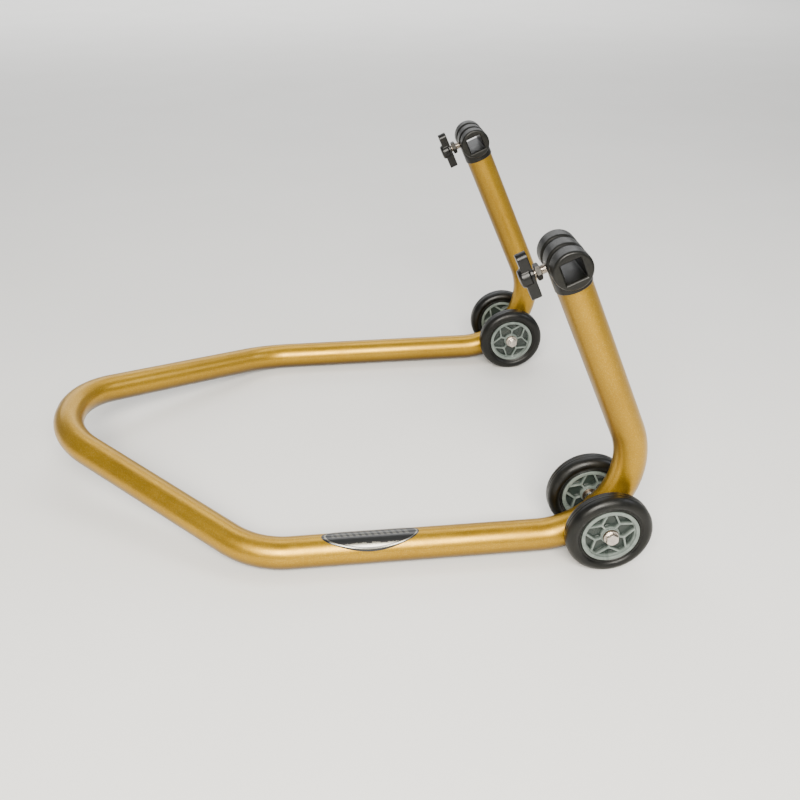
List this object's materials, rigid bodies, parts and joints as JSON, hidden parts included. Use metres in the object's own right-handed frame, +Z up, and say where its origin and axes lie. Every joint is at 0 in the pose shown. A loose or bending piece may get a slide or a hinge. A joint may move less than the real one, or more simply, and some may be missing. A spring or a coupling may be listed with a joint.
{
  "type": "paddock stand",
  "caption": "Rear paddock stand: a bent tube frame on two pairs of small wheels, with a square socket head and clamp knob on each upright.",
  "frame": {"origin": "on the floor under the middle of the bounding box", "axes": "+X from the handle to the wheels, +Y to the left side seen from the handle, +Z up"},
  "size_m": [0.7151, 0.6204, 0.3829],
  "materials": {
    "gold_paint": "satin",
    "badge_foil": "gloss",
    "tyre_rubber": "satin",
    "hub_nylon": "satin",
    "head_nylon": "satin",
    "knob_plastic": "gloss",
    "pad_brass": "satin",
    "spacer_aluminium": "satin",
    "sleeve_steel": "ground",
    "bush_bronze": "satin",
    "zinc_steel": "satin",
    "black_steel": "satin"
  },
  "bodies": {
    "stand": {"frame_tube": "gold_paint", "rail_badge": "badge_foil", "left_axle_bush": "gold_paint", "left_axle_bolt": "zinc_steel", "left_axle_nut": "zinc_steel", "left_axle_washers": "zinc_steel", "left_axle_spacers": "spacer_aluminium", "left_journal_sleeves": "sleeve_steel", "left_head": "head_nylon", "left_thread_insert": "zinc_steel", "right_axle_bush": "gold_paint", "right_axle_bolt": "zinc_steel", "right_axle_nut": "zinc_steel", "right_axle_washers": "zinc_steel", "right_axle_spacers": "spacer_aluminium", "right_journal_sleeves": "sleeve_steel", "right_head": "head_nylon", "right_thread_insert": "zinc_steel"},
    "left_outer_wheel": {"left_outer_tyre": "tyre_rubber", "left_outer_hub": "hub_nylon", "left_outer_wheel_bushes": "bush_bronze"},
    "left_inner_wheel": {"left_inner_tyre": "tyre_rubber", "left_inner_hub": "hub_nylon", "left_inner_wheel_bushes": "bush_bronze"},
    "right_outer_wheel": {"right_outer_tyre": "tyre_rubber", "right_outer_hub": "hub_nylon", "right_outer_wheel_bushes": "bush_bronze"},
    "right_inner_wheel": {"right_inner_tyre": "tyre_rubber", "right_inner_hub": "hub_nylon", "right_inner_wheel_bushes": "bush_bronze"},
    "left_pad": {"left_clamp_pad": "pad_brass"},
    "left_screw": {"left_clamp_stud": "zinc_steel", "left_jam_nut": "black_steel", "left_clamp_knob": "knob_plastic"},
    "right_pad": {"right_clamp_pad": "pad_brass"},
    "right_screw": {"right_clamp_stud": "zinc_steel", "right_jam_nut": "black_steel", "right_clamp_knob": "knob_plastic"}
  },
  "joints": [
    {"name": "left_outer_wheel_spin", "type": "hinge", "parent": "stand", "child": "left_outer_wheel", "pos_m": [0.3075, 0.293, 0.05], "axis": [0, 1, 0], "continuous": true},
    {"name": "left_inner_wheel_spin", "type": "hinge", "parent": "stand", "child": "left_inner_wheel", "pos_m": [0.3075, 0.213, 0.05], "axis": [0, 1, 0], "continuous": true},
    {"name": "right_outer_wheel_spin", "type": "hinge", "parent": "stand", "child": "right_outer_wheel", "pos_m": [0.3075, -0.293, 0.05], "axis": [0, 1, 0], "continuous": true},
    {"name": "right_inner_wheel_spin", "type": "hinge", "parent": "stand", "child": "right_inner_wheel", "pos_m": [0.3075, -0.213, 0.05], "axis": [0, 1, 0], "continuous": true},
    {"name": "left_knob_turn", "type": "hinge", "parent": "left_pad", "child": "left_screw", "pos_m": [0.23866, 0.253, 0.36238], "axis": [0.9135, 0, 0.4067], "range_deg": [0, 1080]},
    {"name": "left_pad_slide", "type": "slide", "parent": "stand", "child": "left_pad", "axis": [0.9135, 0, 0.4067], "range_m": [0, 0.0045]},
    {"name": "right_knob_turn", "type": "hinge", "parent": "right_pad", "child": "right_screw", "pos_m": [0.23866, -0.253, 0.36238], "axis": [0.9135, 0, 0.4067], "range_deg": [0, 1080]},
    {"name": "right_pad_slide", "type": "slide", "parent": "stand", "child": "right_pad", "axis": [0.9135, 0, 0.4067], "range_m": [0, 0.0045]}
  ],
  "couplings": [
    {"joint": "left_knob_turn", "follows": "left_pad_slide", "rad_per_m": 4188.8},
    {"joint": "right_knob_turn", "follows": "right_pad_slide", "rad_per_m": 4188.8}
  ]
}
